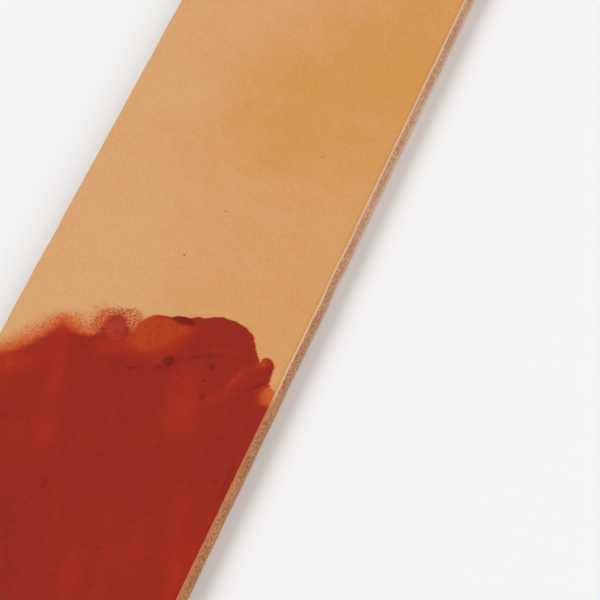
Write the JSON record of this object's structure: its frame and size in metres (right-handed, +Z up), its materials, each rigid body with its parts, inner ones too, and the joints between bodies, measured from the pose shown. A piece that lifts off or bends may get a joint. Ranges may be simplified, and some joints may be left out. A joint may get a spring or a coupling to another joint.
{
  "type": "leather strop",
  "caption": "Flat strip of vegetable-tanned leather, grain side up, with red honing paste rubbed into half its face, for polishing the edges of carving knives and gouges.",
  "frame": {"origin": "middle of the strip's underside", "axes": "+Z up out of the grain face, +Y along the strip away from its pasted end, +X across it to the right"},
  "size_m": [0.05, 0.3, 0.0051],
  "materials": {
    "leather": "natural vegetable-tanned grain, undyed, satin",
    "paste": "iron-oxide red wax paste, rubbed in, dull satin"
  },
  "bodies": {
    "root": {"leather_strap": "leather", "paste_coat": "paste", "paste_dab": "paste", "paste_bead": "paste", "paste_crumb_left": "paste", "paste_crumb_middle": "paste", "paste_crumb_right": "paste"}
  },
  "joints": []
}
